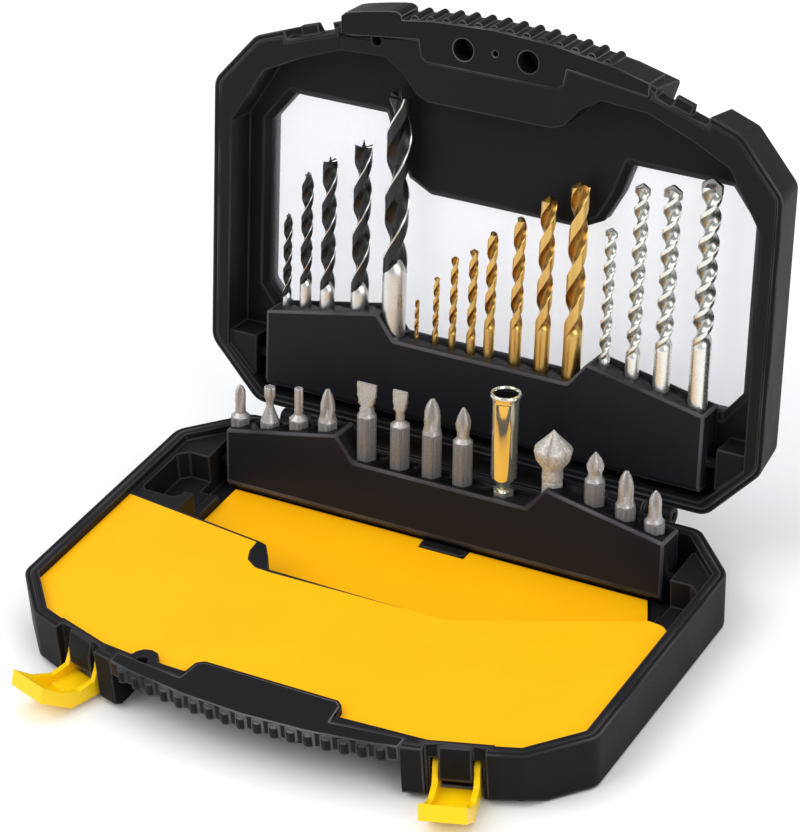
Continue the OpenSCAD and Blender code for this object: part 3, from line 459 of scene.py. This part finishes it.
def make_drills():
    """The three sets of drills. Pitch and depth follow the CAD drills."""
    tree = drill_tree()
    for i, shank in enumerate(WOOD_SHANKS, 1):
        drill(f"wood_drill_{i}", tree, shank, pitch=10.8, flute_depth=0.56, land_share=0.34,
              bright_share=0.05, spur=0.95, slope=0.24, horn=0.3, material=BLACK_OXIDE)
    for i, shank in enumerate(METAL_SHANKS, 1):
        drill(f"metal_drill_{i}", tree, shank, pitch=10.8, flute_depth=0.5, land_share=0.42,
              bright_share=0.4, spur=NO_SPUR, slope=tan(radians(59)), horn=0, material=TITANIUM)
    for i, shank in enumerate(MASONRY_SHANKS, 1):
        node = f"masonry_drill_{i}"
        low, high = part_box(node)
        width = high[0] - low[0]
        drill(node, tree, shank, 0.92, 0.3, CARBIDE, pitch=(7 * MM + 1.4 * width) / (width / 2),
              flute_depth=0.5, land_share=0.24, bright_share=0.22, spur=NO_SPUR,
              slope=tan(radians(64)), horn=0, material=NICKEL)


# ---------------------------------------------------------------- driver bits and the two big tools

HEXAGON_FLATS = 6.35
SHOULDER = 6.2
SHORT_BIT = 25
LONG_BIT = 47.4
COLUMNS = 96


def circle(width):
    """Round."""
    return lambda a: width / 2


def hexagon(flats):
    """Corners along X, a little blunt."""
    return lambda a: min(flats / 2 / cos(a % (pi / 3) - pi / 6), 0.566 * flats)


def cross(reach, wing, turned=0):
    """Four wings of that thickness, turned by that many degrees."""
    def radius(a):
        off = abs((a - radians(turned) + pi / 4) % (pi / 2) - pi / 4)
        return min(reach / 2, wing / 2 / max(sin(off), 0.001))
    return radius


def blade(width, thickness):
    """A flat bar."""
    def radius(a):
        return min(width / 2 / max(abs(cos(a)), 0.001), thickness / 2 / max(abs(sin(a)), 0.001))
    return radius


def star(outer, inner):
    """Six lobes."""
    return lambda a: (outer + inner) / 4 + (outer - inner) / 4 * cos(6 * a)


def toothed(width, teeth, notch):
    """Cutting teeth, each relieved behind its edge, with a notch in front of it."""
    def radius(a):
        along = (a * teeth / tau) % 1
        return width / 2 * (1 - 0.05 * along - notch * max(0, 1 - abs(along - 0.86) / 0.13))
    return radius


def loft(name, rings, second_from):
    """A closed skin in mm through rings of (height, radius by angle), listed from the foot.
    From ring number second_from on it has the second material."""
    bm = bmesh.new()
    turn = [tau * i / COLUMNS for i in range(COLUMNS)]
    skins = [[bm.verts.new((radius(a) * cos(a) * MM, radius(a) * sin(a) * MM, height * MM))
              for a in turn] for height, radius in rings]
    for level, (low, high) in enumerate(zip(skins, skins[1:])):
        for i in range(COLUMNS):
            j = (i + 1) % COLUMNS
            side = bm.faces.new((low[i], low[j], high[j], high[i]))
            side.material_index = int(level >= second_from)
    foot = bm.verts.new((0, 0, rings[0][0] * MM))
    top = bm.verts.new((0, 0, rings[-1][0] * MM))
    for i in range(COLUMNS):
        j = (i + 1) % COLUMNS
        bm.faces.new((foot, skins[0][j], skins[0][i]))
        bm.faces.new((top, skins[-1][i], skins[-1][j])).material_index = int(second_from < len(rings))
    mesh = bpy.data.meshes.new(name)
    bm.to_mesh(mesh)
    bm.free()
    return mesh


def bar_tool(node, rings, second_from, *materials):
    """A tool that stands in the base bar on a hexagonal foot."""
    mesh = loft(node, rings, second_from)
    stand_up(mesh, node, BAR_AXIS, HEXAGON_FLATS / 2 * MM)
    return stand_for(piece(node + "_turned", mesh, *materials), node)


def bit(node, length, hexagon_from, tip):
    """tip lists (distance from the point, radius by angle); the hexagon starts that far from it."""
    foot = hexagon(HEXAGON_FLATS - 0.6)
    shank = hexagon(HEXAGON_FLATS)
    rings = [(0, foot), (0.5, shank), (length - hexagon_from, shank)]
    rings += [(length - depth, shape) for depth, shape in reversed(tip)]
    # hexagon: painted shade; working end: painted light
    return bar_tool(node, rings, 3, TUMBLED_SHADED, MILLED_LIT)


def cross_tip(reach, wing, widest, neck_at, shoulder_at, neck, point=1.4, turned=0):
    """A cross point that opens to its reach and runs out into a round neck."""
    return [(0, cross(point * 0.55, wing * 0.4, turned)), (0.25, cross(point, wing * 0.5, turned)),
            (widest * 0.5, cross(point + (reach - point) * 0.62, wing * 0.75, turned)),
            (widest, cross(reach, wing, turned)),
            ((widest + neck_at) / 2, cross((reach * 2 + neck) / 3, wing * 1.4, turned)),
            (neck_at, circle(neck)), (shoulder_at - 1.3, circle(neck + 0.1)),
            (shoulder_at, circle(SHOULDER))]


def slot_tip(width, waist, blade_length, neck, shoulder_at):
    """A flat blade that narrows to a waist over a round neck."""
    return [(0, blade(width, 0.9)), (1.2, blade(width, 1.1)),
            (blade_length * 0.5, blade(width * 0.93, 1.9)),
            (blade_length * 0.85, blade((width + 2 * waist) / 3, 2.9)), (blade_length, circle(waist)),
            (blade_length + 1, circle(neck)), (shoulder_at - 1.4, circle(neck)),
            (shoulder_at, circle(SHOULDER))]


def star_tip(outer, inner, head, waist, neck_at, shoulder_at):
    """A six-lobed head on a waist."""
    return [(0, star(outer - 0.6, inner - 0.5)), (0.3, star(outer, inner)), (head, star(outer, inner)),
            (neck_at, circle(waist)), (neck_at + 2, circle(waist)),
            (shoulder_at, circle(SHOULDER))]


def make_bits():
    """Driver bits, from left to right."""
    bit("bit_short_1", SHORT_BIT, 11.4, cross_tip(4.1, 1, 2.6, 7.6, 11, 3.5, 1.4, 75))
    bit("bit_short_2", SHORT_BIT, 12.6, star_tip(4.1, 3.2, 3, 2.6, 5.2, 12.2))
    bit("bit_short_3", SHORT_BIT, 11.4, star_tip(3.2, 2.4, 6.4, 3, 7.4, 11))
    bit("bit_short_4", SHORT_BIT, 11.6, cross_tip(5.7, 1.3, 6, 9.4, 11.2, 5.2, 1.7, 75))
    bit("bit_long_1", LONG_BIT, 11.6, slot_tip(7, 4, 8, 4.8, 11.3))
    bit("bit_long_2", LONG_BIT, 12.2, slot_tip(5.2, 2.9, 7.4, 2.9, 11.9))
    bit("bit_long_3", LONG_BIT, 12.2, cross_tip(6.1, 1.4, 5, 10.4, 11.9, 5.6, 1.8, 75))
    bit("bit_long_4", LONG_BIT, 12.1, cross_tip(5.4, 1.3, 5.2, 8.8, 11.8, 3.9, 1.2, 60))
    bit("bit_short_5", SHORT_BIT, 10, cross_tip(5.7, 1.4, 4.5, 7.2, 9.7, 4.4, 0.9, 30))
    bit("bit_short_6", SHORT_BIT, 12, cross_tip(5.5, 1.3, 4.6, 9.6, 11.7, 5.1, 1.7, 75))
    bit("bit_short_7", SHORT_BIT, 10.9, cross_tip(4.7, 1.1, 3.8, 8.4, 10.6, 4.4, 0.8, 70))


def make_holder():
    """Bit holder: a polished tube with a turned lip and a socket in near-black steel as painted shade,
    on a hexagonal stem with a detent groove."""
    width = 8.6
    low = 25.1
    high = 56
    stem = hexagon(HEXAGON_FLATS)
    socket = hexagon(6.6)
    tube = [
        (0, stem), (low - 3.2, stem), (low - 2.9, circle(4.6)), (low - 0.3, circle(4.6)),
        (low, circle(5)), (low, circle(width - 2)), (low + 1.8, circle(width)),
        (high - 3, circle(width)), (high - 2.2, circle(width + 0.3)),
        (high - 1.4, circle(width + 1.1)), (high - 0.9, circle(width + 1.5)),
        (high - 0.35, circle(width + 1.5)), (high, circle(width + 1)),
        (high, circle(width - 0.2)), (high - 0.5, circle(width - 0.8))]
    # the socket's walls and floor get the painted shade
    inside = [(high - 1.1, circle(width - 0.95)), (high - 1.2, socket), (high - 14, socket)]
    bar_tool("bit_holder", tube + inside, len(tube) - 1, CHROME, SOCKET_SHADE)


def make_countersink():
    """Countersink: a five-toothed head whose cone has a right angle, on a hexagonal shank."""
    width = 12.7
    high = 47.2
    shank = hexagon(HEXAGON_FLATS)
    rim = high - width / 2
    rings = [
        (0, shank), (rim - 11.4, shank), (rim - 11.2, circle(5.9)), (rim - 10.7, circle(5.9)),
        (rim - 10.4, circle(6.9)), (rim - 7, circle(6.5)), (rim - 3.8, toothed(width - 1.6, 5, 0.1)),
        (rim - 0.4, toothed(width, 5, 0.2)), (rim + 0.2, toothed(width - 0.5, 5, 0.22)),
        (rim + 3, toothed(width - 6.2, 5, 0.26)), (high - 0.8, toothed(1.5, 5, 0.2)),
        (high, toothed(0.3, 5, 0))]
    bar_tool("countersink", rings, len(rings), SINK_STEEL)


# ---------------------------------------------------------------- camera, light and floor

CAMERA_TARGET = Vector((-36.453, 90.308, 19.4)) * MM
CAMERA_DISTANCE = 1185.85 * MM
CAMERA_AZIMUTH = radians(30.518)
CAMERA_ELEVATION = radians(32.195)
CAMERA_ROLL = radians(-3.163)
CAMERA_LENS = 153.66


def make_camera():
    """The camera at the photograph's place, worked out from the case's corners."""
    a = CAMERA_AZIMUTH
    e = CAMERA_ELEVATION
    back = Vector((sin(a) * cos(e), -cos(a) * cos(e), sin(e)))
    level = Vector((cos(a), sin(a), 0))
    upright = back.cross(level)
    right = cos(CAMERA_ROLL) * level + sin(CAMERA_ROLL) * upright
    up = cos(CAMERA_ROLL) * upright - sin(CAMERA_ROLL) * level
    camera = bpy.data.objects.new("camera", bpy.data.cameras.new("camera"))
    camera.data.lens = CAMERA_LENS
    camera.matrix_world = Matrix.Translation(CAMERA_TARGET + back * CAMERA_DISTANCE) @ Matrix(
        (right, up, back)).transposed().to_4x4()
    bpy.context.scene.collection.objects.link(camera)
    bpy.context.scene.camera = camera


def softbox(name, place, size, power, aim=(0, 0.05, 0.05)):
    """A square soft light that faces the case."""
    light = bpy.data.lights.new(name, "AREA")
    light.shape = "RECTANGLE"
    light.size, light.size_y = size
    light.energy = power
    lamp = bpy.data.objects.new(name, light)
    lamp.location = place
    lamp.rotation_euler = (Vector(aim) - Vector(place)).to_track_quat("-Z", "Y").to_euler()
    bpy.context.scene.collection.objects.link(lamp)


def make_studio():
    """A white table under three soft lights."""
    world = bpy.data.worlds.new("studio")
    world.use_nodes = True
    world.node_tree.nodes["Background"].inputs["Color"].default_value = linear("#E8ECF2")
    world.node_tree.nodes["Background"].inputs["Strength"].default_value = 0.55
    bpy.context.scene.world = world
    softbox("key", (-0.9, -0.9, 1.5), (1.6, 1.6), 21)
    softbox("fill", (1.3, -0.6, 0.9), (1.0, 1.0), 9)
    softbox("overhead", (0.1, 0.5, 1.9), (2.2, 1.6), 17)
    size = 4.0
    mesh = bpy.data.meshes.new("table")
    corners = [(-size, -size), (size, -size), (size, size), (-size, size)]
    mesh.from_pydata([(x, y, -0.02 * MM) for x, y in corners], [], [(0, 1, 2, 3)])
    table = bpy.data.objects.new("table", mesh)
    white, tree, shader = finish("paper_white", "#F8F8F8", 0.9, Specular_IOR_Level=0.1)
    mesh.materials.append(white)
    bpy.context.scene.collection.objects.link(table)
    bpy.context.scene.view_settings.view_transform = "Standard"


make_camera()
make_studio()

# ---------------------------------------------------------------- the case

LID_FLOOR_DEPTH = 12 * MM
WINDOW_CHAMFER = 2.3 * MM
LID_BAR_DEPTH = 5.9 * MM
HOLE_ZONE = 4.7 * MM
FRONT_CUT_TOPS = (2.6 * MM, 14 * MM)


def lid_place(point):
    """A point in the open lid's own measures: across, depth behind the rim, height above the hinge."""
    p = point - HINGE
    depth = p.y * cos(LID_LEAN) - p.z * sin(LID_LEAN)
    return Vector((p.x, depth, p.y * sin(LID_LEAN) + p.z * cos(LID_LEAN)))


def round_window(edge):
    """Edges of the window's opening in the lid's inner floor."""
    ends = [lid_place(v.co) for v in edge.verts]
    in_floor = all(abs(p.y - LID_FLOOR_DEPTH) < 0.05 * MM for p in ends)
    inside = all(abs(p.x) < 87 * MM and 32 * MM < p.z < 109.5 * MM for p in ends)
    return in_floor and inside and edge.calc_face_angle(0) > radians(60)


def in_front_cuts(edge):
    """Upper edges of the two slanted cuts below the front of the base, where thin wedges end."""
    return any(all(abs(v.co.z - top) < 0.05 * MM for v in edge.verts) for top in FRONT_CUT_TOPS)


def in_base_bar(edge):
    """Edges of the holes along the middle of the base bar."""
    middle = Vector((0, cos(BASE_BAR_LEAN), -sin(BASE_BAR_LEAN)))
    return all(abs((v.co - BASE_AXLE).dot(middle)) < HOLE_ZONE for v in edge.verts)


def in_lid_bar(edge):
    """Edges of the holes along the middle of the lid bar."""
    return all(abs(lid_place(v.co).y - LID_BAR_DEPTH) < HOLE_ZONE for v in edge.verts)


rounded("base_shell", 0.55 * MM, SHELL_BLACK, keep=in_front_cuts)
rounded("lid_shell", 0.55 * MM, SHELL_BLACK)
rounded("base_tray", 0.5 * MM, INNER_BLACK)
rounded("lid_frame", 0.5 * MM, INNER_BLACK, round_window, WINDOW_CHAMFER)
rounded("base_grip", 0.6 * MM, GRIP_BLACK)
rounded("lid_grip", 0.3 * MM, GRIP_BLACK)
rounded("front_panel", 0.25 * MM, PANEL_YELLOW)
rounded("recess_liner", 0.25 * MM, PANEL_YELLOW)
rounded("base_bar", 0.9 * MM, BAR_BLACK, keep=in_base_bar)
rounded("lid_bar", 0.9 * MM, BAR_BLACK, keep=in_lid_bar)
rounded("latch_left", 0.35 * MM, LATCH_YELLOW)
rounded("latch_right", 0.35 * MM, LATCH_YELLOW)
make_drills()
make_bits()
make_holder()
make_countersink()
for node, material in (("window_pane", CLEAR), ("grip_screws", SCREW_BLACK),
                       ("hinge_pin_left", ZINC), ("hinge_pin_right", ZINC)):
    NODES[node].data.materials.clear()
    NODES[node].data.materials.append(material)
